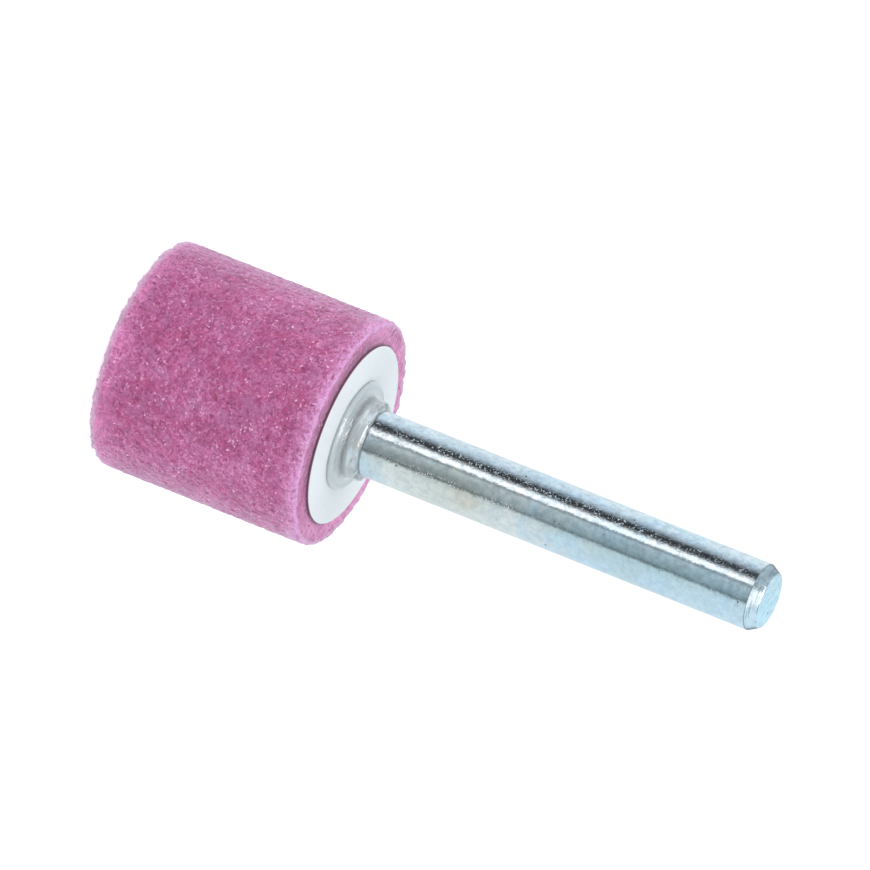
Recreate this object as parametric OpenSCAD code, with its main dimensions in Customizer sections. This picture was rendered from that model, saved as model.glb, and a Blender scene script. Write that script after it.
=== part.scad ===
// Mounted point: a vitrified grinding wheel cemented onto a plated steel shank.
// The wheel stands on its free end at z = 0, and the shank points up along +Z.

/* [Grinding wheel] */
// Outer diameter of the wheel
wheel_d = 20.5; // [18:0.5:30]
// Length of the wheel along its axis
wheel_t = 20; // [16:0.5:40]
// Rounding of the rim on the shank side
shank_rim_r = 0.4; // [0.2:0.05:0.8]
// Rounding of the rim at the free end
free_rim_r = 0.35; // [0.1:0.05:1]

/* [Shank] */
// Diameter of the shank where a collet grips it
shank_d = 6; // [5:0.1:8]
// Length of shank that stands out of the wheel's face
shank_free_l = 40; // [25:1:80]
// Depth to which the shank reaches into the wheel
shank_depth = 12; // [8:0.5:14]
// Length of the chamfer at each end of the shank
chamfer_l = 0.9; // [0.3:0.1:1.5]
// Amount that the chamfer takes off the radius
chamfer_w = 0.55; // [0.2:0.05:1]

/* [Bonding grooves] */
// Width of one groove in the bonded end of the shank
groove_w = 0.8; // [0.6:0.1:1.2]
// Depth of one groove
groove_depth = 0.25; // [0.1:0.05:0.3]
// Distance from one groove to the next
groove_pitch = 1.5; // [1.3:0.1:3]

/* [Cover disc] */
// Outer diameter of the disc on the wheel's shank-side face
disc_d = 16.2; // [13:0.1:16.6]
// Thickness of the disc
disc_t = 0.3; // [0.2:0.05:0.8]

/* [Adhesive] */
// Gap between the shank and the bore, filled with adhesive
bond_gap = 0.25; // [0.2:0.05:0.6]
// Thickness of the adhesive under the shank's inner end
bond_pad = 0.5; // [0.2:0.1:1]
// Reach of the collar's foot over the disc, out from the shank
foot_reach = 2; // [1.6:0.1:2.4]
// Height of the collar's foot, which is also the rounding of its edge
foot_h = 0.45; // [0.3:0.05:0.6]
// Wall of the sleeve that climbs the shank, which is also the rounding of its top
sleeve_wall = 0.6; // [0.4:0.05:0.8]
// Height at which the adhesive ends on the shank, above the disc
collar_h = 2; // [1.8:0.1:3]
// Radius of the hollow between the foot and the sleeve
hollow_r = 0.5; // [0.2:0.05:0.6]

/* [Hidden] */
$fn = 96;

wheel_r = wheel_d / 2;
shank_r = shank_d / 2;
bore_r = shank_r + bond_gap;

// Heights above the free end of the wheel
shank_end_z = wheel_t - shank_depth;
bore_floor_z = shank_end_z - bond_pad;
disc_top_z = wheel_t + disc_t;
bond_top_z = disc_top_z + collar_h;
tip_z = wheel_t + shank_free_l;

// A groove is an arc with this radius, so that its width and depth both hold
groove_arc_r = (pow(groove_w / 2, 2) + pow(groove_depth, 2)) / (2 * groove_depth);
// The first groove starts where the adhesive ends, and the last stays above the chamfer
groove_room = bond_top_z - shank_end_z - chamfer_l - groove_w;
groove_count = 1 + floor(groove_room / groove_pitch);

// Profiles are half sections: x is the distance from the axis, y is the height

// Half section of a solid cylinder with a rounded lower and upper rim
module rounded_profile(r, h, low_r, high_r) {
    translate([0, low_r])
        square([r, h - low_r - high_r]);
    square([r - low_r, h]);
    square([r - high_r, h]);
    intersection() {
        square([r, h]);
        union() {
            translate([r - low_r, low_r])
                circle(low_r);
            translate([r - high_r, h - high_r])
                circle(high_r);
        }
    }
}

// Half section of the shank: a chamfered rod, grooved along its bonded end
module shank_profile() {
    difference() {
        polygon([
            [0, shank_end_z],
            [shank_r - chamfer_w, shank_end_z],
            [shank_r, shank_end_z + chamfer_l],
            [shank_r, tip_z - chamfer_l],
            [shank_r - chamfer_w, tip_z],
            [0, tip_z]
        ]);
        for (i = [0 : groove_count - 1])
            translate([
                shank_r + groove_arc_r - groove_depth,
                bond_top_z - groove_w / 2 - i * groove_pitch
            ])
                circle(groove_arc_r);
    }
}

// Half section of the collar above the disc: a foot, a hollow and a sleeve with a round shoulder
module collar_profile() {
    foot_r = shank_r + foot_reach;
    sleeve_r = shank_r + sleeve_wall;
    shoulder_h = collar_h - sleeve_wall;
    square([foot_r - foot_h, foot_h]);
    intersection() {
        square([foot_r, foot_h]);
        translate([foot_r - foot_h, 0])
            circle(foot_h);
    }
    difference() {
        square([sleeve_r + hollow_r, foot_h + hollow_r]);
        translate([sleeve_r + hollow_r, foot_h + hollow_r])
            circle(hollow_r);
    }
    square([sleeve_r, shoulder_h]);
    square([shank_r, collar_h]);
    intersection() {
        square([sleeve_r, collar_h]);
        translate([shank_r, shoulder_h])
            circle(sleeve_wall);
    }
}

module grinding_wheel() {
    color([0.72, 0.41, 0.60])
        rotate_extrude()
            difference() {
                rounded_profile(wheel_r, wheel_t, free_rim_r, shank_rim_r);
                translate([0, bore_floor_z])
                    square([bore_r, wheel_t]);
            }
}

module shank() {
    color([0.72, 0.76, 0.77])
        rotate_extrude()
            shank_profile();
}

module cover_disc() {
    color([0.89, 0.92, 0.94])
        rotate_extrude()
            translate([bore_r, wheel_t])
                square([disc_d / 2 - bore_r, disc_t]);
}

module adhesive() {
    color([0.80, 0.84, 0.86])
        rotate_extrude()
            difference() {
                union() {
                    translate([0, bore_floor_z])
                        square([bore_r, disc_top_z - bore_floor_z]);
                    translate([0, disc_top_z])
                        collar_profile();
                }
                shank_profile();
            }
}

grinding_wheel();
shank();
cover_disc();
adhesive();
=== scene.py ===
"""Mounted point on a pale studio floor: abrasive wheel, plated shank, white disc and clear collar.

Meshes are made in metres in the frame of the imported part: z = 0 is the wheel's free end, and +Z runs
to the shank's tip.
"""

import math

import bpy
import numpy as np
from bpy.props import FloatProperty, FloatVectorProperty, IntProperty, PointerProperty
from mathutils import Matrix, Vector


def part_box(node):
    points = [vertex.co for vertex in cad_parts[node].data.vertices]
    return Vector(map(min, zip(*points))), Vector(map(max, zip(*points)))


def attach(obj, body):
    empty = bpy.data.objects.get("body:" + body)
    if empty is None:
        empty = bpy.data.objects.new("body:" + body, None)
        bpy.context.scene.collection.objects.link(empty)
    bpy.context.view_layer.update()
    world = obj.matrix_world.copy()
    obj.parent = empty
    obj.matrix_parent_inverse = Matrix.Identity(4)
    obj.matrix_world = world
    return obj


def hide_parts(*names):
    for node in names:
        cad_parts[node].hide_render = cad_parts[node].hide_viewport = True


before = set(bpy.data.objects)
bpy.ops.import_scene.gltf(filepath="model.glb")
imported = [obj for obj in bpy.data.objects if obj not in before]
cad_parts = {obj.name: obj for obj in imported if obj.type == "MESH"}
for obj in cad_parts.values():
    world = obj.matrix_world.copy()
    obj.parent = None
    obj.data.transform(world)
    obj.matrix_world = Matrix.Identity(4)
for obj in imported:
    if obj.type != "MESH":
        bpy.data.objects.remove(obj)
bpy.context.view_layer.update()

bl_info = {
    "name": "Mounted Point",
    "version": (1, 0, 0),
    "blender": (4, 5, 0),
    "location": "View3D > Sidebar > Mounted Point",
    "description": "Builds a mounted point with its abrasive wheel, shank, disc and adhesive collar",
    "category": "Object",
}

MM = 0.001
TURN = 2 * math.pi

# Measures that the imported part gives
WHEEL_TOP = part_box("grinding_wheel")[1]
DISC_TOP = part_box("cover_disc")[1]
SHANK_END, SHANK_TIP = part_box("shank")
BOND_FLOOR, BOND_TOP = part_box("adhesive")


# Properties


def length(name, description, default):
    """A size in metres."""
    return FloatProperty(name=name, description=description, default=default, unit="LENGTH", precision=5)


def factor(name, description, default):
    """A plain number."""
    return FloatProperty(name=name, description=description, default=default, precision=3)


def colour(name, description, default):
    """A linear colour."""
    return FloatVectorProperty(
        name=name, description=description, default=default, subtype="COLOR", size=3
    )


def tilt(name, description, degrees):
    """An angle, given in degrees."""
    return FloatProperty(
        name=name, description=description, default=math.radians(degrees), subtype="ANGLE"
    )


def power(name, description, default):
    """A lamp's power in watts."""
    return FloatProperty(name=name, description=description, default=default, unit="POWER")


def vertex_count(piece, default):
    """The number of vertices round a piece."""
    return IntProperty(name="Segments", description=f"Vertices round the {piece}", default=default)


class WheelSettings(bpy.types.PropertyGroup):
    """Sizes and colours of the bonded abrasive wheel."""

    radius: length("Radius", "Outer radius of the wheel", WHEEL_TOP.x)
    height: length("Length", "Length of the wheel along its axis", WHEEL_TOP.z)
    shank_rim: length("Shank-side rim", "Rounding of the rim on the shank side", 0.4 * MM)
    free_rim: length("Free rim", "Rounding of the rim at the free end", 0.35 * MM)
    grain: length("Grain", "Mean size of one abrasive grain", 0.36 * MM)
    facet: length("Facet", "Mean size of one bright or dark facet", 0.23 * MM)
    chip: length("Chip", "Depth of the chips along the rims", 0.34 * MM)
    relief: length("Relief", "Depth of the hollows between grains", 0.09 * MM)
    segments: vertex_count("wheel", 400)
    deep: colour("Deep grain", "Colour of the deepest grains", (0.25, 0.028, 0.115))
    middle: colour("Middle grain", "Colour of most grains", (0.435, 0.085, 0.260))
    pale: colour("Pale grain", "Colour of the palest grains", (0.68, 0.270, 0.520))
    lavender: colour("Lavender grain", "Colour that some grains drift to", (0.42, 0.150, 0.340))
    rose: colour("Rose grain", "Colour that other grains drift to", (0.46, 0.058, 0.205))
    chalky: colour("Chalky grain", "Colour of worn grains along the rims", (0.73, 0.360, 0.680))
    # Painted light: a pale pink laid on the free end's rim and on the face's far side
    lit_pink: colour("Dusty face", "Colour of the face where dust lies", (0.74, 0.240, 0.530))
    # Painted light: a pale tint laid on the very edge of the free rim and the far rim of the face
    rim_light_tint: colour("Bleached rim", "Colour of the very edge of the rims", (0.68, 0.500, 0.650))
    # Painted shade on the face's near side; on the far side this colour also gives the face's dark grains
    grain_and_shade_pink: colour("Stained face", "Colour of the face where adhesive soaked in", (0.32, 0.005, 0.150))
    # Painted glints: the brightest facets are painted in this colour
    glint: colour("Glint", "Colour of the brightest facets", (0.92, 0.550, 0.780))
    soaked: colour("Soaked grain", "Colour of grain soaked with adhesive at the bore", (0.5, 0.52, 0.54))


class ShankSettings(bpy.types.PropertyGroup):
    """Sizes and colours of the plated shank."""

    radius: length("Radius", "Radius of the shank", SHANK_TIP.x)
    chamfer_length: length("Chamfer length", "Length of the chamfer along the axis", 0.9 * MM)
    chamfer_width: length("Chamfer width", "Amount that the chamfer takes off the radius", 0.55 * MM)
    groove_width: length("Groove width", "Width of one groove in the bonded end", 0.8 * MM)
    groove_depth: length("Groove depth", "Depth of one groove", 0.25 * MM)
    groove_pitch: length("Groove pitch", "Distance from one groove to the next", 1.5 * MM)
    edge: length("Edge", "Rounding of the edges at the tip", 0.09 * MM)
    segments: vertex_count("shank", 160)
    zinc: colour("Zinc", "Colour of the clean plating", (0.82, 0.80, 0.78))
    blue_film: colour("Blue film", "Tint of the plating where its film looks blue", (0.60, 0.71, 0.77))
    sky_film: colour("Sky film", "Tint of the plating near the tip", (0.67, 0.80, 0.90))
    sky_patch: colour("Sky patch", "Tint of cloudy patches in the upper part", (0.58, 0.78, 0.94))
    stain: colour("Stain", "Tint of one stained spot", (0.70, 0.52, 0.36))
    turned: colour("Turned line", "Tint of the lines that turning left on the chamfer", (0.2, 0.22, 0.23))
    pit: colour("Pit", "Tint of the pits in the plating", (0.05, 0.055, 0.06))
    dirt: colour("Dirt", "Tint of the dirt along the adhesive's edge", (0.12, 0.14, 0.15))
    yellow_film: colour("Yellow film", "Tint of the plating near the collar", (0.75, 0.735, 0.68))


class DiscSettings(bpy.types.PropertyGroup):
    """Sizes and colour of the white disc."""

    radius: length("Radius", "Outer radius of the disc", DISC_TOP.x)
    thickness: length("Thickness", "Thickness of the disc", DISC_TOP.z - WHEEL_TOP.z)
    edge: length("Edge", "Rounding of the disc's edge", 0.08 * MM)
    warp: length("Warp", "Height of the disc's slow waves", 0.02 * MM)
    segments: vertex_count("disc", 192)
    white: colour("White", "Colour of the disc", (0.85, 0.91, 0.95))
    # Painted shadow: colour of the foot of the disc's edge, where it meets the wheel
    edge_shadow: colour("Cut edge", "Colour of the disc's dusty edge", (0.20, 0.02, 0.085))


class AdhesiveSettings(bpy.types.PropertyGroup):
    """Sizes and tint of the clear adhesive."""

    gap: length("Gap", "Gap between the shank and the bore", 0.25 * MM)
    foot_height: length("Foot height", "Height of the collar's foot", 0.45 * MM)
    sleeve_wall: length("Sleeve wall", "Wall of the sleeve that climbs the shank", 0.6 * MM)
    hollow: length("Hollow", "Radius of the hollow between foot and sleeve", 0.5 * MM)
    shoulder: length("Shoulder", "Rounding of the sleeve's top edge", 0.35 * MM)
    ripple: length("Ripple", "Unevenness of the collar's outline", 0.09 * MM)
    sink: length("Sink", "Overlap with the disc and the shank, so that no air lies between", 0.015 * MM)
    segments: vertex_count("collar", 160)
    cloud: colour("Cloud", "Colour of the cloudy streaks", (0.93, 0.965, 1.0))
    # Painted light: strength of the collar's glow
    through_glow: factor("Milk", "Faint glow in place of the light that lamps send through", 0.1)
    tint: colour("Tint", "Colour of light that passes through", (0.92, 0.985, 1.0))


class StageSettings(bpy.types.PropertyGroup):
    """Camera, floor and lights."""

    elevation: tilt("Elevation", "Camera's angle above the floor", 18.11)
    roll: tilt("Roll", "Camera's turn about its line of sight", 111.69)
    distance: length("Distance", "Camera's distance from the part", 1.0)
    frame_width: length("Frame width", "Width of the picture at the part", 74.05 * MM)
    aim: FloatVectorProperty(
        name="Aim",
        description="Point at the picture's centre",
        default=(-2.58 * MM, 0, 27.02 * MM),
        unit="LENGTH",
    )
    floor: colour("Floor", "Colour of the floor", (0.62, 0.62, 0.62))
    floor_glow: factor("Floor glow", "Light from below the floor", 0.62)
    ambient: factor("Ambient", "Strength of the light from all round", 0.80)
    left_power: power("Left light", "Power of the light on the -X side", 0.38)
    right_power: power("Right light", "Power of the light on the +X side", 0.25)


# Meshes


def arc(centre, radius, start, end, steps):
    """Points of an arc in a half section; angles in degrees, 0 points away from the axis and 90 up."""
    angles = np.radians(np.linspace(start, end, steps + 1))
    return [(centre[0] + radius * math.cos(a), centre[1] + radius * math.sin(a)) for a in angles]


def line(start, end, step):
    """Points from start to end, both included, about a step apart."""
    count = max(1, round(math.dist(start, end) / step))
    return [tuple(p) for p in np.linspace(start, end, count + 1)]


def joined(*stretches):
    """One list of points from stretches that share their end points."""
    points = []
    for stretch in stretches:
        points += [p for p in stretch if not points or math.dist(p, points[-1]) > 1e-7]
    return np.array(points)


def revolve(name, profile, segments, closed=False):
    """A mesh object turned from a half section, listed counter-clockwise seen with the axis on the left.

    A point on the axis becomes one vertex. Returns the object and, for each vertex, its profile index.
    """
    turn = np.arange(segments) * TURN / segments
    verts, index, starts = [], [], []
    for i, (r, z) in enumerate(profile):
        starts.append(len(verts))
        angles = turn if r > 0 else turn[:1]
        verts += [(r * math.cos(a), r * math.sin(a), z) for a in angles]
        index += [i] * len(angles)

    def vertex(i, step):
        """The number of a vertex, from its profile point and its step round the axis."""
        return starts[i] + (step % segments if profile[i][0] > 0 else 0)

    faces = []
    last = len(profile) if closed else len(profile) - 1
    for i in range(last):
        j = (i + 1) % len(profile)
        for k in range(segments):
            corners = [vertex(i, k), vertex(i, k + 1), vertex(j, k + 1), vertex(j, k)]
            faces.append(list(dict.fromkeys(corners)))
    mesh = bpy.data.meshes.new(name)
    mesh.from_pydata(verts, [], faces)
    piece = bpy.data.objects.new(name, mesh)
    bpy.context.scene.collection.objects.link(piece)
    return piece, np.array(index)


def coordinates(piece):
    """The vertices of a piece as an array."""
    co = np.empty(len(piece.data.vertices) * 3)
    piece.data.vertices.foreach_get("co", co)
    return co.reshape(-1, 3)


def set_coordinates(piece, co):
    """Moves the vertices of a piece."""
    piece.data.vertices.foreach_set("co", co.ravel())
    piece.data.update()


def profile_normals(profile):
    """Outward direction of each profile point, as (away from the axis, up)."""
    along = np.gradient(profile, axis=0)
    normal = np.stack([along[:, 1], -along[:, 0]], 1)
    return normal / np.maximum(np.linalg.norm(normal, axis=1, keepdims=True), 1e-12)


def smooth(low, high, x):
    """0 below low, 1 above high, and an even blend between."""
    t = np.clip((x - low) / (high - low), 0, 1)
    return t * t * (3 - 2 * t)


def cell_random(cells, seed):
    """Three even random numbers for each whole-number cell."""
    mixed = np.uint64(seed * 2654435761)
    for axis, prime in enumerate((73856093, 19349663, 83492791)):
        mixed = mixed ^ (cells[:, axis].astype(np.int64).astype(np.uint64) * np.uint64(prime))
    values = []
    for _ in range(3):
        mixed = (mixed ^ (mixed >> np.uint64(29))) * np.uint64(0xBF58476D1CE4E5B9)
        mixed = mixed ^ (mixed >> np.uint64(32))
        values.append((mixed & np.uint64(0xFFFFFF)).astype(float) / 0x1000000)
    return np.stack(values, 1)


def grains(points, size, seed):
    """The nearest grain of each point, one grain to a cell of the given size.

    Returns the distances to the nearest and the second nearest in grain sizes, the way to the nearest,
    and its random numbers.
    """
    scaled_points = points / size
    base = np.floor(scaled_points)
    near = np.full(len(points), 9.0)
    second = near.copy()
    way = np.zeros_like(points)
    chance = np.zeros_like(points)
    for offset in np.ndindex(3, 3, 3):
        cells = base + np.array(offset) - 1
        random = cell_random(cells, seed)
        to_grain = cells + random - scaled_points
        distance = np.linalg.norm(to_grain, axis=1)
        closer = distance < near
        second = np.where(closer, near, np.minimum(second, distance))
        near = np.where(closer, distance, near)
        way[closer] = to_grain[closer]
        chance[closer] = random[closer]
    return near, second, way, chance


def waves(angle, seed, count=5):
    """A smooth closed ripple round the axis, about 1 high, from a few seeded sine waves."""
    rng = np.random.default_rng(seed)
    total = np.zeros_like(angle)
    for k in range(2, 2 + count):
        total += rng.normal() / k * np.sin(k * angle + rng.uniform(0, TURN))
    return total


def polar(co):
    """Distance from the axis and angle round it, for each row of coordinates."""
    return np.hypot(co[:, 0], co[:, 1]), np.arctan2(co[:, 1], co[:, 0])


def finish_piece(piece, material, node):
    """Gives a piece its material and its body, and hides the CAD node that it stands for."""
    piece.data.materials.append(material)
    piece.data.polygons.foreach_set("use_smooth", [True] * len(piece.data.polygons))
    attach(piece, "root")
    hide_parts(node)


# Materials


def scaled(tint, share):
    """A colour times a number."""
    return tuple(share * c for c in tint)


def plug(socket, value):
    """Links a wire to a socket, or sets the socket's own value."""
    if isinstance(value, Wire):
        socket.id_data.links.new(value.socket, socket)
    else:
        socket.default_value = value


class Wire:
    """A node's output that takes part in Python arithmetic: each operation adds a Math node."""

    def __init__(self, socket):
        self.socket = socket

    def math(self, operation, first, second):
        """A Math node fed by two values, as a wire."""
        node = self.socket.id_data.nodes.new("ShaderNodeMath")
        node.operation = operation
        plug(node.inputs[0], first)
        plug(node.inputs[1], second)
        return Wire(node.outputs[0])

    def __add__(self, other):
        return self.math("ADD", self, other)

    __radd__ = __add__

    def __sub__(self, other):
        return self.math("SUBTRACT", self, other)

    def __rsub__(self, other):
        return self.math("SUBTRACT", other, self)

    def __mul__(self, other):
        return self.math("MULTIPLY", self, other)

    __rmul__ = __mul__


class Finish:
    """A material in the making: one Principled shader and the nodes that feed it."""

    def __init__(self, name):
        self.material = bpy.data.materials.new(name)
        self.material.use_nodes = True
        self.nodes = self.material.node_tree.nodes
        self.shader = self.nodes["Principled BSDF"]

    def add(self, kind, settings=None, sockets=None, output=0):
        """Adds a node: its settings first, then its sockets. Returns one of its outputs as a wire."""
        node = self.nodes.new(kind)
        for key, value in (settings or {}).items():
            if key == "stops":
                self.set_stops(node.color_ramp, value)
            else:
                setattr(node, key, value)
        for key, value in (sockets or {}).items():
            plug(node.inputs[key], value)
        return Wire(node.outputs[output])

    @staticmethod
    def set_stops(ramp, stops):
        while len(ramp.elements) < len(stops):
            ramp.elements.new(1.0)
        for element, (position, value) in zip(ramp.elements, stops):
            element.position = position
            element.color = (*value, 1.0)

    def millimetres(self):
        """The place on the part, in millimetres."""
        place = self.add("ShaderNodeTexCoord", output="Object")
        return self.add("ShaderNodeVectorMath", {"operation": "SCALE"}, {0: place, "Scale": 1 / MM})

    def axes(self, place):
        """The X, Y and Z of a place."""
        return [self.add("ShaderNodeSeparateXYZ", None, {0: place}, axis) for axis in "XYZ"]

    def stretched(self, place, scale):
        """A place with each axis scaled."""
        return self.add("ShaderNodeVectorMath", {"operation": "MULTIPLY"}, {0: place, 1: scale})

    def radius(self, place):
        """The distance of a place from the axis."""
        across = self.stretched(place, (1.0, 1.0, 0.0))
        return self.add("ShaderNodeVectorMath", {"operation": "LENGTH"}, {0: across}, "Value")

    def noise(self, place, scale, detail=2.0, roughness=0.5):
        sockets = {"Vector": place, "Scale": scale, "Detail": detail, "Roughness": roughness}
        return self.add("ShaderNodeTexNoise", None, sockets)

    def cells(self, place, scale):
        """Distance and random value of Voronoi cells."""
        distance = self.add("ShaderNodeTexVoronoi", None, {"Vector": place, "Scale": scale})
        tint = Wire(distance.socket.node.outputs["Color"])
        return distance, self.add("ShaderNodeSeparateColor", None, {"Color": tint})

    def blend(self, value, low, high):
        """A smooth step of a value from 0 at low to 1 at high."""
        sockets = {"Value": value, "From Min": low, "From Max": high}
        return self.add("ShaderNodeMapRange", {"interpolation_type": "SMOOTHSTEP"}, sockets)

    def mix(self, share, first, second):
        """A colour between two colours."""
        first, second = (v if isinstance(v, Wire) else (*v, 1.0) for v in (first, second))
        sockets = {0: share, 6: first, 7: second}
        return self.add("ShaderNodeMix", {"data_type": "RGBA"}, sockets, output=2)

    def ramp(self, share, stops):
        """A colour from a row of stops."""
        return self.add("ShaderNodeValToRGB", {"stops": stops}, {"Fac": share})

    def bump(self, height, depth):
        """A normal from a height between 0 and 1, which stands for the given depth in metres."""
        return self.add("ShaderNodeBump", None, {"Height": height, "Distance": depth})

    def set(self, **sockets):
        """Sets sockets of the Principled shader, named with underscores for spaces."""
        for key, value in sockets.items():
            plug(self.shader.inputs[key.replace("_", " ")], value)
        return self.material


def abrasive_finish(look, disc_radius, bore_radius):
    """Bonded pink grain: varied pink facets, drifting patches, chalky rims, shade painted in pores and on
    the face, painted rim light and glints.
    """
    f = Finish("bonded_abrasive")
    place = f.millimetres()
    x, y, z = f.axes(place)
    r = f.radius(place)
    rim, face = look.radius / MM, look.height / MM
    disc_edge, bore = disc_radius / MM, bore_radius / MM
    facet_scale = MM / look.facet
    on_face = f.blend(z, face - 0.6, face - 0.2)
    # Bent cells look like broken flakes
    bend = f.add("ShaderNodeTexNoise", None, {"Vector": place, "Scale": 2.4, "Detail": 1.0}, "Color")
    sockets = {0: bend, 1: (0.5, 0.5, 0.5), 2: place}
    bent = f.add("ShaderNodeVectorMath", {"operation": "MULTIPLY_ADD"}, sockets)
    distance, chance = f.cells(bent, facet_scale)
    fine = f.noise(bent, 1.2 * facet_scale, 1.0)
    mottle = f.noise(place, 1.3, 2.0)
    patches = f.noise(place, 0.32, 2.0)
    speckle = (chance - 0.5) * 0.42 + (fine - 0.5) * 0.75
    tone = 0.48 + speckle + (mottle - 0.5) * 0.45 + (patches - 0.5) * 0.6
    pink = f.ramp(tone, [(0.08, look.deep), (0.5, look.middle), (0.95, look.pale)])
    drift = f.noise(place, 0.75, 4.0, 0.65)
    pink = f.mix(f.blend(drift, 0.48, 0.70) * 0.6, pink, look.lavender)
    pink = f.mix(f.blend(drift, 0.50, 0.30) * 0.5, pink, look.rose)
    # Painted light: the free end is paler towards its rim, and the wall is chalky up to the shank-side
    # rim's crest
    outer = f.blend(r, rim - 1.1, rim - 0.45)
    free_end_light = f.mix(tone, scaled(look.lit_pink, 0.4), scaled(look.lit_pink, 1.3))
    pink = f.mix(outer * f.blend(z, 2.9, 0.4) * 0.75, pink, free_end_light)
    on_wall = f.blend(r, rim - 0.55, rim - 0.25)
    worn = f.blend(z, face - 1.9, face - 0.3) * 0.55 + f.blend(z, face - 0.75, face - 0.35) * 0.28
    crest = f.blend(r, rim - 0.75, rim - 0.4) * f.blend(r, rim - 0.05, rim - 0.3)
    crest = crest * f.blend(z, face - 0.5, face - 0.2) * 0.5
    chalk = on_wall * worn * f.blend(fine + chance * 0.5, 0.15, 1.15) + crest
    pink = f.mix(chalk, pink, look.chalky)
    # Painted shade and light: the face is darker on the near side, paler on the far side; rim edges
    # painted pale
    near_side = f.blend(y, -1.5, -6.0)
    dark_face = f.mix(near_side, scaled(look.grain_and_shade_pink, 1.1), scaled(look.grain_and_shade_pink, 0.75))
    pale_face = f.mix(near_side, scaled(look.lit_pink, 1.4), scaled(look.grain_and_shade_pink, 1.9))
    face_tint = f.mix(f.blend(tone, -0.05, 1.0), dark_face, pale_face)
    pink = f.mix(on_face * f.blend(r, rim - 0.3, rim - 0.8) * 0.85, pink, face_tint)
    # Painted light: the far rim of the face and the very edge of the free rim are painted pale
    far_side_light = on_face * f.blend(r, rim - 1.2, rim - 0.5) * f.blend(y, 0.0, 6.0) * 0.45
    painted_rim_light = (outer * f.blend(z, 1.0, 0.05) + far_side_light) * (0.65 + fine * 0.5)
    pink = f.mix(painted_rim_light, pink, look.rim_light_tint)
    # Painted shade: a shaded ring on the face's near side and a dark shadow line round the disc; grain
    # soaked with adhesive is pale round the bore
    shade = on_face * f.blend(y + x * 0.3, -2.5, -6.5)
    shade = shade * f.blend(r, disc_edge + 1.15, disc_edge + 0.55)
    pink = f.mix(shade * 0.5, pink, scaled(look.deep, 0.6))
    disc_shadow = on_face * f.blend(r + fine * 0.5, disc_edge + 0.60, disc_edge + 0.25)
    pink = f.mix(disc_shadow * 0.85, pink, scaled(look.deep, 0.4))
    pink = f.mix(f.blend(r, bore + 0.45, bore + 0.15), pink, look.soaked)
    # Painted shade: pores between grains are darkened as shade falls in them
    pore_distance, pore_chance = f.cells(bent, 0.8 * facet_scale)
    pore = f.blend(pore_chance, 0.90, 0.96) * f.blend(pore_distance, 0.6, 0.2)
    pink = f.mix(pore * (0.75 - (chalk + painted_rim_light) * 0.5), pink, scaled(look.deep, 0.6))
    # Painted glints: the brightest facets are painted near white
    glint_distance, glint_chance = f.cells(bent, 1.15 * facet_scale)
    cluster = f.noise(place, 0.55, 2.0)
    brightness = glint_chance + (cluster - 0.5) * 0.3
    glint = f.blend(brightness, 0.90, 0.985) * f.blend(glint_distance, 0.65, 0.2)
    pink = f.mix(glint * 0.8, pink, look.glint)
    height = chance * 0.5 + fine * 0.8 + f.blend(distance, 0.75, 0.25) * 0.3
    height = height * (1 - on_face * 0.7) * (1 - chalk * 0.5)
    return f.set(
        Base_Color=pink,
        Roughness=0.72 - glint * 0.4,
        Normal=f.bump(height, 0.05 * MM),
        Sheen_Weight=1.0,
        Sheen_Roughness=0.39,
        Sheen_Tint=(0.86, 0.80, 1.0, 1.0),
        Subsurface_Weight=0.3,
        Subsurface_Radius=(1.0, 0.5, 0.8),
        Subsurface_Scale=0.35 * MM,
    )


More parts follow.
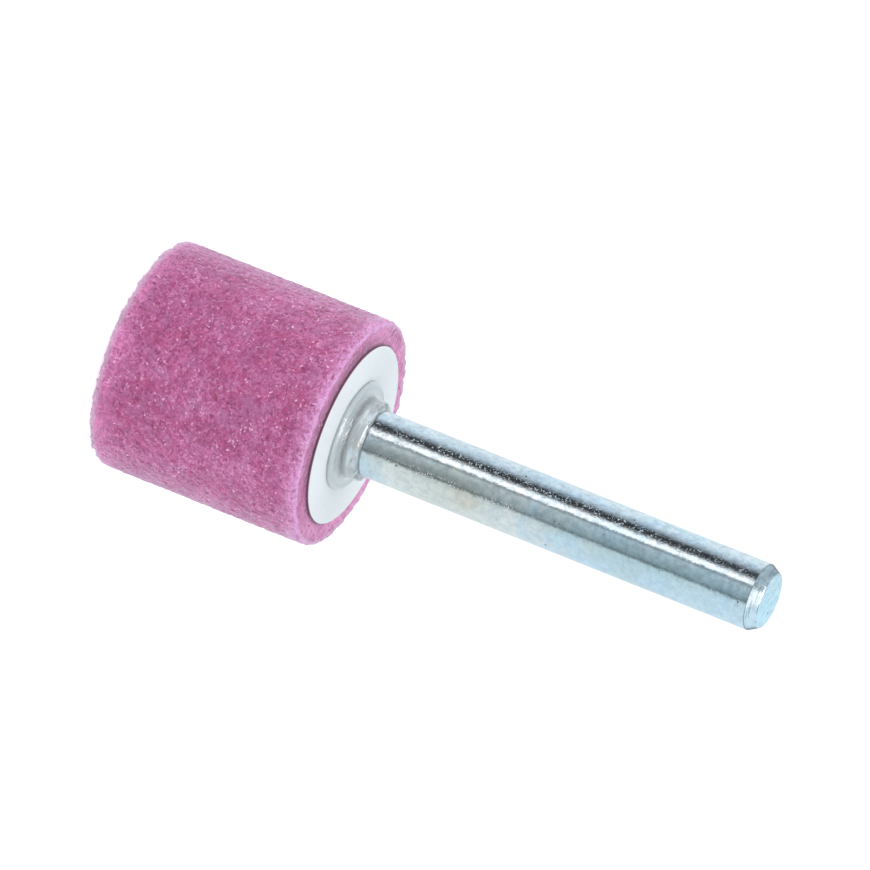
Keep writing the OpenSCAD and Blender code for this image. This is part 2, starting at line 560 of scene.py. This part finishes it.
def zinc_finish(look):
    """Bright zinc plating: faint blue and yellow films, orange-peel pitting, and a mottled sheen."""
    f = Finish("plated_steel")
    place = f.millimetres()
    x, y, z = f.axes(place)
    collar, tip = BOND_TOP.z / MM, SHANK_TIP.z / MM
    chamfer_foot = tip - look.chamfer_length / MM
    # The film is yellow above the collar and blue near the tip, and one side is blue all along
    cloud = f.noise(place, 0.3, 3.0) - 0.5
    share = (z - collar) * (1 / (tip - collar)) + cloud * 0.2
    stops = [(0.0, look.blue_film), (0.06, look.zinc), (0.2, look.yellow_film), (0.34, look.zinc)]
    stops += [(0.65, look.blue_film), (1.0, look.sky_film)]
    plating = f.ramp(share, stops)
    blue_side = f.mix(0.4, look.sky_film, look.zinc)
    plating = f.mix(f.blend(x + cloud * 2.0, 0.2, -1.2), plating, blue_side)
    sky = f.blend(f.noise(place, 0.4, 2.0), 0.48, 0.66) * f.blend(z, collar + 10.7, collar + 17.7)
    plating = f.mix(sky * 0.5, plating, look.sky_patch)
    stain_place = (1.45, -2.6, collar + 10.1)
    from_stain = f.add(
        "ShaderNodeVectorMath", {"operation": "DISTANCE"}, {0: place, 1: stain_place}, "Value"
    )
    stain = f.blend(from_stain, 1.9, 0.1) * f.blend(f.noise(place, 1.1, 3.0), 0.3, 0.6)
    plating = f.mix(stain * 0.6, plating, look.stain)
    mottle = f.noise(place, 1.6, 5.0, 0.7)
    dull = f.blend(mottle, 0.35, 0.70) * (0.7 - f.blend(x, 0.6, 1.6) * 0.3)
    plating = f.mix(dull, plating, scaled(look.blue_film, 0.62))
    # Turning left dark lines round the tip's chamfer
    lines = f.blend(f.noise(f.stretched(place, (0.05, 0.05, 1.0)), 6.5, 1.0), 0.5, 0.6)
    on_chamfer = f.blend(z, chamfer_foot + 0.05, chamfer_foot + 0.1)
    on_chamfer = on_chamfer * f.blend(z, chamfer_foot + 0.85, chamfer_foot + 0.8)
    plating = f.mix(on_chamfer * lines * 0.45, plating, look.turned)
    # Two scuffed streaks run along the wall, and the foot is gritty all round
    side = x.math("ARCTAN2", x, 0 - y) * (360 / TURN)
    streak = f.blend(side, -44.0, -34.0) * f.blend(side, -17.0, -25.0)
    second_streak = f.blend(side, 8.0, 13.0) * f.blend(side, 22.0, 18.0)
    second_streak = second_streak * f.blend(z, collar + 23.7, collar + 5.7) * 1.8
    foot_patch = f.blend(f.noise(place, 0.8, 2.0), 0.45, 0.65)
    foot_grit = f.blend(z, collar + 9.7, collar + 0.7) * foot_patch
    lower = f.blend(z, chamfer_foot - 3.0, chamfer_foot - 14.0)
    gritty = streak * (0.6 + lower * 0.4) + second_streak + foot_grit
    pit_distance, pit_chance = f.cells(place, 1.9)
    pit = f.blend(pit_chance + second_streak * 0.08, 0.95, 0.98) * f.blend(pit_distance, 0.26, 0.08)
    plating = f.mix(pit * 0.8, plating, look.pit)
    patch = f.blend(f.noise(place, 0.7, 2.0), 0.35, 0.62)
    grit = f.blend(f.noise(place, 5.5, 3.0, 0.6), 0.56, 0.73) * gritty * (0.25 + patch)
    # Adhesive wets the shank above the collar, so the surface flares there, with dirt along the edge
    flare = f.blend(z, collar + 0.9, collar - 0.5)
    seam = f.blend(z, collar + 0.16, collar + 0.06)
    plating = f.mix(seam * 0.5, plating, look.dirt)
    smear = f.blend(z, collar + 14.7, collar + 6.7) * f.blend(side, -6.0, 9.0) * f.blend(side, 19.0, 15.0)
    plating = f.mix(smear * 0.62, plating, scaled(look.zinc, 0.5))
    peel = f.noise(place, 2.2, 2.0, 0.5)
    speckle = f.noise(place, 4.5, 3.0, 0.65) * (0.1 + patch * 0.12 + streak * 0.25)
    height = peel * 0.35 + speckle + grit * 0.5 - pit * 0.6 + flare * 2.0
    return f.set(
        Base_Color=plating,
        Metallic=1.0,
        Roughness=0.05 + mottle * 0.10 + streak * 0.02,
        Normal=f.bump(height, 0.035 * MM),
    )


def disc_finish(look):
    """Smooth white sheet with faint scuffs, and a painted shadow at the foot of its edge."""
    f = Finish("white_disc")
    place = f.millimetres()
    top = DISC_TOP.z / MM
    cloud = f.noise(place, 0.5, 3.0)
    scuff = f.blend(f.noise(place, 1.8, 4.0, 0.7), 0.52, 0.72)
    white = f.mix(cloud * 0.25 + scuff * 0.45, look.white, scaled(look.white, 0.88))
    # Painted shadow: the foot of the cut edge, where the disc meets the wheel, is painted dark pink
    _, _, z = f.axes(place)
    white = f.mix(f.blend(z, top - 0.05, top - 0.13) * 0.9, white, look.edge_shadow)
    fibre = f.noise(place, 9.0, 2.0)
    return f.set(
        Base_Color=white,
        Roughness=0.42 + scuff * 0.15,
        Specular_IOR_Level=0.3,
        Normal=f.bump(fibre + scuff * 0.3, 0.004 * MM),
    )


def adhesive_finish(look, shank_radius):
    """Set adhesive, clear but faintly milky, with a glossy and slightly uneven skin and a faint painted
    glow.
    """
    f = Finish("clear_adhesive")
    place = f.millimetres()
    _, _, z = f.axes(place)
    r = f.radius(place)
    disc, top = DISC_TOP.z / MM, BOND_TOP.z / MM
    hollow = (shank_radius + look.sleeve_wall + look.hollow) / MM
    # Rings were left in the skin as the adhesive settled, and cloudy streaks were drawn up the shank
    skin = f.noise(place, 1.4, 2.0)
    section = f.add("ShaderNodeCombineXYZ", None, {"X": r, "Y": skin, "Z": z})
    rings = f.noise(section, 3.4, 3.0)
    streaks = f.noise(f.stretched(place, (1.0, 1.0, 0.2)), 2.4, 3.0, 0.6)
    clear = f.mix(f.blend(streaks, 0.42, 0.62), look.tint, look.cloud)
    # Dirt and bent light darken the foot's edge, the hollow, the top edge and some of the rings
    foot_line = f.blend(z, disc + 0.28, disc + 0.05)
    hollow_line = f.blend(r, hollow + 0.1, hollow - 0.2) * f.blend(z, disc + 0.95, disc + 0.6)
    hollow_line = hollow_line * (1 - foot_line)
    top_line = f.blend(z, top - 0.2, top - 0.04)
    fine_rings = f.blend(rings, 0.48, 0.60)
    lines = foot_line * 0.5 + hollow_line * 0.15 + top_line * 0.4 + fine_rings * 0.22
    # Painted light: the collar glows faintly, most near the shank, in place of light that lamps send
    # through it
    glow = (0.3 + f.blend(r, hollow + 0.5, hollow - 0.3) * 0.65) * (1 - foot_line * 0.95)
    return f.set(
        Base_Color=f.mix(lines, clear, scaled(look.tint, 0.3)),
        Roughness=0.03 + skin * 0.06,
        Transmission_Weight=0.8,
        IOR=1.5,
        Specular_IOR_Level=0.9,
        Coat_Weight=0.3,
        Coat_Roughness=0.03,
        Emission_Color=f.mix(glow, (0.0, 0.0, 0.0), look.tint),
        Emission_Strength=look.through_glow,
        Normal=f.bump(rings + skin * 0.4 + streaks * 0.5, 0.08 * MM),
    )


# Half sections


def eased(before, corner, after, size):
    """Points that round a corner, with the given size of cut, and one point beyond on each side."""
    before, corner, after = (np.array(point) for point in (before, corner, after))
    back = (before - corner) * size / math.dist(before, corner)
    ahead = (after - corner) * size / math.dist(after, corner)
    bend = [corner + back * (1 - t) ** 2 + ahead * t**2 for t in np.linspace(0, 1, 5)]
    return [corner + 1.6 * back, *bend, corner + 1.6 * ahead]


def shank_profile(look, sink=0.0):
    """Half section of the shank from its inner end to its tip; sink draws the wall in towards the axis."""
    end, tip, radius = SHANK_END.z, SHANK_TIP.z, look.radius
    depth, half = look.groove_depth, look.groove_width / 2
    arc_radius = (half**2 + depth**2) / (2 * depth)
    reach = math.degrees(math.asin(half / arc_radius))
    room = BOND_TOP.z - end - look.chamfer_length - look.groove_width
    count = 1 + int(room / look.groove_pitch)
    stretches = [[(0, end), (radius - look.chamfer_width, end), (radius, end + look.chamfer_length)]]
    for i in reversed(range(count)):
        centre = (radius + arc_radius - depth, BOND_TOP.z - half - i * look.groove_pitch)
        stretches.append(arc(centre, arc_radius, 180 + reach, 180 - reach, 8))
    bond_edge = (radius, BOND_TOP.z)
    clear_of_bond = (radius, BOND_TOP.z + 0.02 * MM)
    below_chamfer = (radius, tip - 2 * look.chamfer_length)
    wall = (radius, tip - look.chamfer_length)
    rim = (radius - look.chamfer_width, tip)
    stretches.append([bond_edge, clear_of_bond])
    stretches.append(line(clear_of_bond, below_chamfer, 1.0 * MM))
    stretches.append(eased((radius, end), wall, rim, look.edge))
    stretches.append(eased(wall, rim, (0, tip), look.edge))
    stretches.append([(0, tip)])
    profile = joined(*stretches)
    profile[:, 0] = np.maximum(profile[:, 0] - sink, 0)
    return profile


# Operators


class MOUNTEDPOINT_OT_stage(bpy.types.Operator):
    """Build the floor, the lights and the camera"""

    bl_idname = "mounted_point.stage"
    bl_label = "Stage"

    FLOOR_HALF = 1.5
    TENT_RADIUS = 52 * MM
    TENT_HEIGHT = 130 * MM
    TENT_SEGMENTS = 144
    LIGHT_SIZE = 0.30
    LIGHT_REACH = 0.30
    LIGHT_FRONT = 0.06
    LIGHT_HEIGHT = 0.22
    # Brightness of the tent round the axis, by angle in degrees from the camera's side towards +X.
    # The shank's wall mirrors the tent's wall, its chamfer the crown, and its edges the gap and the roof.
    WALL_TOP = 44.0
    CROWN_FOOT = 58.0
    SOFT_STEP = 10.0
    GAP = (0.36, 0.41, 0.43)
    TENT_WALL = (
        (-180, (0.82, 0.90, 0.95)),
        (-130, (0.98, 1.08, 1.12)),
        (-102, (0.86, 0.98, 1.06)),
        (-90, (0.70, 0.81, 0.90)),
        (-79, (0.37, 0.42, 0.46)),
        (-69, (0.05, 0.054, 0.058)),
        (-58, (0.035, 0.036, 0.038)),
        (-49, (0.13, 0.13, 0.13)),
        (-37, (1.5, 1.5, 1.5)),
        (-28, (1.5, 1.5, 1.5)),
        (-23, (0.26, 0.29, 0.30)),
        (-19, (0.42, 0.48, 0.50)),
        (-14, (0.61, 0.70, 0.73)),
        (20, (0.41, 0.51, 0.54)),
        (27, (0.33, 0.41, 0.43)),
        (30, (0.20, 0.24, 0.25)),
        (34, (0.36, 0.42, 0.43)),
        (39, (0.74, 0.85, 0.86)),
        (60, (0.82, 0.94, 0.97)),
        (120, (0.86, 0.98, 1.03)),
        (180, (0.82, 0.90, 0.95)),
    )
    TENT_CROWN = (
        (-180, (0.78, 1.02, 1.10)),
        (-150, (0.54, 0.66, 0.72)),
        (-60, (0.52, 0.63, 0.69)),
        (-30, (0.55, 0.65, 0.70)),
        (-15, (1.4, 1.4, 1.4)),
        (40, (1.4, 1.4, 1.4)),
        (55, (0.85, 0.97, 1.00)),
        (150, (0.85, 1.00, 1.04)),
        (180, (0.78, 1.02, 1.10)),
    )
    TENT_ROOF = (
        (-180, (0.42, 0.46, 0.48)),
        (-60, (0.42, 0.46, 0.48)),
        (-45, (12.0, 12.0, 12.0)),
        (30, (12.0, 12.0, 12.0)),
        (45, (0.42, 0.46, 0.48)),
        (180, (0.42, 0.46, 0.48)),
    )

    def execute(self, context):
        look = context.scene.mounted_point_stage
        self.floor(look)
        self.tent()
        self.light("left_light", -self.LIGHT_REACH, look.left_power)
        self.light("right_light", self.LIGHT_REACH, look.right_power)
        self.world(context.scene, look)
        self.camera(context.scene, look)
        context.scene.view_settings.view_transform = "Standard"
        return {"FINISHED"}

    def floor(self, look):
        h = self.FLOOR_HALF
        mesh = bpy.data.meshes.new("floor")
        mesh.from_pydata([(-h, -h, 0), (h, -h, 0), (h, h, 0), (-h, h, 0)], [], [(0, 1, 2, 3)])
        floor = bpy.data.objects.new("floor", mesh)
        bpy.context.scene.collection.objects.link(floor)
        pale = Finish("pale_floor").set(
            Base_Color=(*look.floor, 1.0),
            Roughness=0.9,
            Specular_IOR_Level=0.0,
            Emission_Color=(1.0, 1.0, 1.0, 1.0),
            Emission_Strength=look.floor_glow,
        )
        mesh.materials.append(pale)

    def tent(self):
        """A light tent with a wall, a crown and a roof, seen only in reflections."""
        r, h = self.TENT_RADIUS, self.TENT_HEIGHT
        tent, _ = revolve("light_tent", [(r, 0), (r, h), (0, h)], self.TENT_SEGMENTS)
        f = Finish("tent_cloth")
        x, y, z = f.axes(f.millimetres())
        share = x.math("ARCTAN2", x, 0 - y) * (1 / TURN) + 0.5
        bands = (self.TENT_WALL, self.TENT_CROWN, self.TENT_ROOF)
        brightest = max(max(tone) for band in bands for _, tone in band)
        tones = []
        for band in bands:
            stops = [(0.5 + degrees / 360, scaled(tone, 1 / brightest)) for degrees, tone in band]
            tones.append(f.ramp(share, stops))
        wall, crown, roof = tones
        gap = scaled(self.GAP, 1 / brightest)
        cloth = f.mix(f.blend(z, self.WALL_TOP, self.WALL_TOP + self.SOFT_STEP), wall, gap)
        cloth = f.mix(f.blend(z, self.CROWN_FOOT, self.CROWN_FOOT + self.SOFT_STEP), cloth, crown)
        cloth = f.mix(f.blend(z, h / MM - 0.2, h / MM - 0.1), cloth, roof)
        glowing = f.set(
            Base_Color=(0.0, 0.0, 0.0, 1.0),
            Specular_IOR_Level=0.0,
            Emission_Color=cloth,
            Emission_Strength=brightest,
        )
        tent.data.materials.append(glowing)
        tent.visible_camera = False
        tent.visible_diffuse = False
        tent.visible_transmission = False
        tent.visible_shadow = False

    def light(self, name, x, watts):
        """A soft square light that points at the middle of the part."""
        lamp = bpy.data.lights.new(name, "AREA")
        lamp.size = self.LIGHT_SIZE
        lamp.energy = watts
        light = bpy.data.objects.new(name, lamp)
        bpy.context.scene.collection.objects.link(light)
        light.location = (x, -self.LIGHT_FRONT, self.LIGHT_HEIGHT)
        towards = Vector((0, 0, WHEEL_TOP.z)) - light.location
        light.rotation_euler = towards.to_track_quat("-Z", "Y").to_euler()
        light.visible_glossy = False

    def world(self, scene, look):
        world = bpy.data.worlds.new("soft_room")
        world.use_nodes = True
        background = world.node_tree.nodes["Background"]
        background.inputs["Color"].default_value = (1.0, 1.0, 1.0, 1.0)
        background.inputs["Strength"].default_value = look.ambient
        scene.world = world

    def camera(self, scene, look):
        lens = bpy.data.cameras.new("camera")
        lens.sensor_width = 36
        lens.lens = lens.sensor_width * look.distance / look.frame_width
        camera = bpy.data.objects.new("camera", lens)
        scene.collection.objects.link(camera)
        back = Vector((0, -math.cos(look.elevation), math.sin(look.elevation)))
        level = Vector((1, 0, 0))
        upright = back.cross(level)
        right = math.cos(look.roll) * level + math.sin(look.roll) * upright
        up = back.cross(right)
        turn = Matrix((right, up, back)).transposed().to_4x4()
        camera.matrix_world = Matrix.Translation(Vector(look.aim) + back * look.distance) @ turn
        scene.camera = camera


class MOUNTEDPOINT_OT_grinding_wheel(bpy.types.Operator):
    """Build the abrasive wheel with its grain and crumbled rims"""

    bl_idname = "mounted_point.grinding_wheel"
    bl_label = "Grinding wheel"

    END_STEP = 0.24 * MM
    WALL_STEP = 0.158 * MM
    # The face stays plain inside this distance from the disc's edge, where the disc covers it
    DISC_LAP = 0.5 * MM
    # A vertex this near to a plane counts as on it
    TOUCH = 0.001 * MM
    # Vertices are loosened by up to this share of a step, outside the middle of the free end
    LOOSENESS = 0.32
    MIDDLE = 1 * MM
    CHIP_REACH = 0.45 * MM
    SHANK_SIDE_CHIP = 0.36
    # Size in grains, seed, share of the depth, and how hollow the chips are
    CHIP_LAYERS = ((0.95, 8, 0.55, 0.0), (2.1, 9, 0.6, 0.6), (4.6, 10, 0.5, 1.0))
    # Size in grains, seed and height
    CREST_LAYERS = ((1.3, 12, 0.07 * MM), (2.6, 13, 0.03 * MM))

    def half_section(self, look, covered, bore):
        """From the centre of the free end round to the bore's floor."""
        r, t = look.radius, look.height
        low, high = look.free_rim, look.shank_rim
        return joined(
            line((0, 0), (r - low, 0), self.END_STEP),
            arc((r - low, low), low, -90, 0, 6),
            line((r, low), (r, t - high), self.WALL_STEP),
            arc((r - high, t - high), high, 0, 90, 9),
            line((r - high, t), (covered, t), self.WALL_STEP),
            [(bore, t), (bore, BOND_FLOOR.z), (0, BOND_FLOOR.z)],
        )

    def execute(self, context):
        scene = context.scene
        look, disc = scene.mounted_point_wheel, scene.mounted_point_disc
        bore = scene.mounted_point_shank.radius + scene.mounted_point_adhesive.gap
        covered = disc.radius - self.DISC_LAP
        profile = self.half_section(look, covered, bore)
        piece, ring = revolve("wheel_grain", profile, look.segments)
        normal = profile_normals(profile)[ring]
        set_coordinates(piece, self.crumbled(look, covered, normal, coordinates(piece)))
        finish_piece(piece, abrasive_finish(look, disc.radius, bore), "grinding_wheel")
        return {"FINISHED"}

    def crumbled(self, look, covered, normal, co):
        """The vertices moved to grains, pores and chipped rims, always inwards on the free end."""
        rng = np.random.default_rng(11)
        r, _ = polar(co)
        out = co[:, :2] / np.maximum(r, 1e-9)[:, None]
        normal = np.column_stack([out * normal[:, :1], normal[:, 1]])
        bare = (r > covered + 10 * self.TOUCH) | (co[:, 2] < self.TOUCH)
        # Loosen the regular rows of vertices
        spin = np.column_stack([-out[:, 1], out[:, 0], np.zeros(len(co))])
        rise = np.cross(normal, spin)
        away = rng.uniform(-self.LOOSENESS, self.LOOSENESS, (len(co), 2)) * self.WALL_STEP
        away *= (bare & (r > self.MIDDLE))[:, None]
        co = co + spin * away[:, :1] + rise * away[:, 1:]
        moved = co + normal * (self.grain_height(look, normal, co) * bare)[:, None]
        moved += self.chips(look, r, out, co) * bare[:, None]
        moved[:, 2] += self.crest(look, r, normal, co) * bare
        moved[:, 2] = np.maximum(moved[:, 2], 0)
        return moved

    def grain_height(self, look, normal, co):
        """How far grains stand out of the surface, less on the face and on the worn rim."""
        near, second, way, chance = grains(co, look.grain, 3)
        border = smooth(0.0, 0.3, second - near)
        lean = np.einsum("ij,ij->i", way, chance - 0.5)
        height = (chance[:, 0] - 0.3) * 0.8 + lean * 0.5 - 0.55 * (1 - border)
        pore = smooth(0.90, 0.97, chance[:, 1]) * border
        rim_wear = 0.7 * smooth(-2.0 * MM, -0.8 * MM, co[:, 2] - look.height)
        worn = np.maximum(smooth(0.3, 0.9, normal[:, 2]), rim_wear)
        height = look.relief * (height - 1.1 * pore) * (1 - 0.6 * worn)
        return np.where(co[:, 2] < self.TOUCH, np.minimum(height, 0), height)

    def chips(self, look, r, out, co):
        """Hollow chips of several sizes that cut diagonally into both rims, deeper at the free end."""
        total = np.zeros_like(co)
        free_rim = (0.0, 1.0, look.chip)
        shank_rim = (look.height, -1.0, self.SHANK_SIDE_CHIP * look.chip)
        for rim_z, slope, depth in (free_rim, shank_rim):
            from_rim = np.hypot(r - look.radius, co[:, 2] - rim_z)
            at_rim = np.exp(-((from_rim / self.CHIP_REACH) ** 2))
            into = np.column_stack([-out, np.full(len(co), slope)]) * math.sqrt(0.5)
            for size, seed, share, hollow in self.CHIP_LAYERS:
                near, _, _, chance = grains(co, size * look.grain, seed)
                chip = smooth(0.35, 0.75, chance[:, 2]) * (1 - hollow * smooth(0.15, 0.8, near))
                total += into * (share * depth * at_rim * chip)[:, None]
        return total

    def crest(self, look, r, normal, co):
        """Height of single grains that stand up from the face near its rim."""
        near_rim = smooth(look.radius - 1.1 * MM, look.radius - 0.5 * MM, r)
        near_rim *= smooth(0.6, 0.95, normal[:, 2])
        total = np.zeros(len(co))
        for size, seed, height in self.CREST_LAYERS:
            chance = grains(co, size * look.grain, seed)[3]
            total += height * near_rim * smooth(0.1, 1.0, chance[:, 0])
        return total


class MOUNTEDPOINT_OT_shank(bpy.types.Operator):
    """Build the plated shank with its chamfers and bonding grooves"""

    bl_idname = "mounted_point.shank"
    bl_label = "Shank"

    def execute(self, context):
        look = context.scene.mounted_point_shank
        piece, _ = revolve("plated_shank", shank_profile(look), look.segments)
        finish_piece(piece, zinc_finish(look), "shank")
        return {"FINISHED"}


class MOUNTEDPOINT_OT_cover_disc(bpy.types.Operator):
    """Build the white disc on the wheel's face"""

    bl_idname = "mounted_point.cover_disc"
    bl_label = "Cover disc"

    LOWER_STEP = 0.8 * MM
    UPPER_STEP = 0.4 * MM
    # The disc lies flat this far out from the collar's foot
    FLAT_REACH = 0.4 * MM

    def execute(self, context):
        look = context.scene.mounted_point_disc
        hole = context.scene.mounted_point_shank.radius + context.scene.mounted_point_adhesive.gap
        low, high, edge = WHEEL_TOP.z, WHEEL_TOP.z + look.thickness, look.edge
        outer = look.radius - edge
        profile = joined(
            line((hole, low), (outer, low), self.LOWER_STEP),
            arc((outer, low + edge), edge, -90, 0, 4),
            arc((outer, high - edge), edge, 0, 90, 4),
            line((outer, high), (hole, high), self.UPPER_STEP),
        )
        piece, _ = revolve("white_disc", profile, look.segments, closed=True)
        co = coordinates(piece)
        r, angle = polar(co)
        on_top = co[:, 2] > low + look.thickness / 2
        dip = smooth(BOND_TOP.x + self.FLAT_REACH, look.radius, r) * on_top
        co[:, 2] -= look.warp * dip * (1 + waves(angle, 5))
        set_coordinates(piece, co)
        finish_piece(piece, disc_finish(look), "cover_disc")
        return {"FINISHED"}


class MOUNTEDPOINT_OT_adhesive(bpy.types.Operator):
    """Build the clear adhesive: the bond in the bore and the collar round the shank's foot"""

    bl_idname = "mounted_point.adhesive"
    bl_label = "Adhesive"

    BORE_STEP = 1 * MM
    FOOT_STEP = 0.3 * MM
    COLLAR_STEP = 0.1 * MM
    TOP_STEP = 0.08 * MM
    # Distances from the shank at which the collar's outline and its top are fully uneven
    SWELL_REACH = 0.5 * MM
    TOP_REACH = 0.25 * MM

    def half_section(self, look, shank):
        """From the centre of the bore's floor out, up over the collar, and back down along the shank."""
        bore = shank.radius + look.gap
        foot, sleeve = BOND_TOP.x, shank.radius + look.sleeve_wall
        disc = DISC_TOP.z - look.sink
        top = DISC_TOP.z + look.foot_height
        shoulder = BOND_TOP.z - look.shoulder
        bead = look.foot_height
        inner = shank_profile(shank, look.sink)
        inner = inner[inner[:, 1] <= BOND_TOP.z + 1e-7][::-1]
        return joined(
            [(0, BOND_FLOOR.z), (bore, BOND_FLOOR.z)],
            line((bore, BOND_FLOOR.z), (bore, disc), self.BORE_STEP),
            line((bore, disc), (foot, disc), self.FOOT_STEP),
            arc((foot - bead, DISC_TOP.z), bead, 0, 90, 8),
            line((foot - bead, top), (sleeve + look.hollow, top), self.COLLAR_STEP),
            arc((sleeve + look.hollow, top + look.hollow), look.hollow, 270, 180, 8),
            line((sleeve, top + look.hollow), (sleeve, shoulder), self.COLLAR_STEP),
            arc((sleeve - look.shoulder, shoulder), look.shoulder, 0, 90, 10),
            line((sleeve - look.shoulder, BOND_TOP.z), (shank.radius, BOND_TOP.z), self.TOP_STEP),
            inner,
        )

    def execute(self, context):
        look = context.scene.mounted_point_adhesive
        shank = context.scene.mounted_point_shank
        piece, _ = revolve("adhesive_collar", self.half_section(look, shank), look.segments)
        co = coordinates(piece)
        r, angle = polar(co)
        above_disc = co[:, 2] >= DISC_TOP.z - 2 * look.sink
        free = smooth(shank.radius, shank.radius + self.SWELL_REACH, r) * above_disc
        swell = look.ripple * free * (waves(angle, 21) + 0.5 * waves(angle * 2, 22))
        co[:, :2] *= (1 + swell / np.maximum(r, 1e-9))[:, None]
        at_top = smooth(BOND_TOP.z - 2 * look.shoulder, BOND_TOP.z, co[:, 2])
        at_top *= smooth(0, self.TOP_REACH, r - shank.radius)
        co[:, 2] -= look.ripple * at_top * np.clip(0.8 + 1.5 * waves(3 * angle, 23), 0, 3)
        set_coordinates(piece, co)
        finish_piece(piece, adhesive_finish(look, shank.radius), "adhesive")
        return {"FINISHED"}


class MOUNTEDPOINT_PT_panel(bpy.types.Panel):
    """Lists the pieces of the mounted point"""

    bl_idname = "MOUNTEDPOINT_PT_panel"
    bl_label = "Mounted Point"
    bl_space_type = "VIEW_3D"
    bl_region_type = "UI"
    bl_category = "Mounted Point"

    def draw(self, context):
        for operator in OPERATORS:
            self.layout.operator(operator.bl_idname)
        for name in SETTINGS:
            settings = getattr(context.scene, name)
            box = self.layout.box()
            for key in settings.bl_rna.properties.keys():
                if key not in ("rna_type", "name"):
                    box.prop(settings, key)


SETTINGS = {
    "mounted_point_stage": StageSettings,
    "mounted_point_wheel": WheelSettings,
    "mounted_point_shank": ShankSettings,
    "mounted_point_disc": DiscSettings,
    "mounted_point_adhesive": AdhesiveSettings,
}
OPERATORS = (
    MOUNTEDPOINT_OT_stage,
    MOUNTEDPOINT_OT_grinding_wheel,
    MOUNTEDPOINT_OT_shank,
    MOUNTEDPOINT_OT_cover_disc,
    MOUNTEDPOINT_OT_adhesive,
)
CLASSES = (*SETTINGS.values(), *OPERATORS, MOUNTEDPOINT_PT_panel)


def register():
    for cls in CLASSES:
        bpy.utils.register_class(cls)
    for name, cls in SETTINGS.items():
        setattr(bpy.types.Scene, name, PointerProperty(type=cls))


def unregister():
    for name in SETTINGS:
        delattr(bpy.types.Scene, name)
    for cls in reversed(CLASSES):
        bpy.utils.unregister_class(cls)


def main():
    register()
    bpy.ops.mounted_point.stage()
    bpy.ops.mounted_point.grinding_wheel()
    bpy.ops.mounted_point.shank()
    bpy.ops.mounted_point.cover_disc()
    bpy.ops.mounted_point.adhesive()


if __name__ == "__main__":
    main()
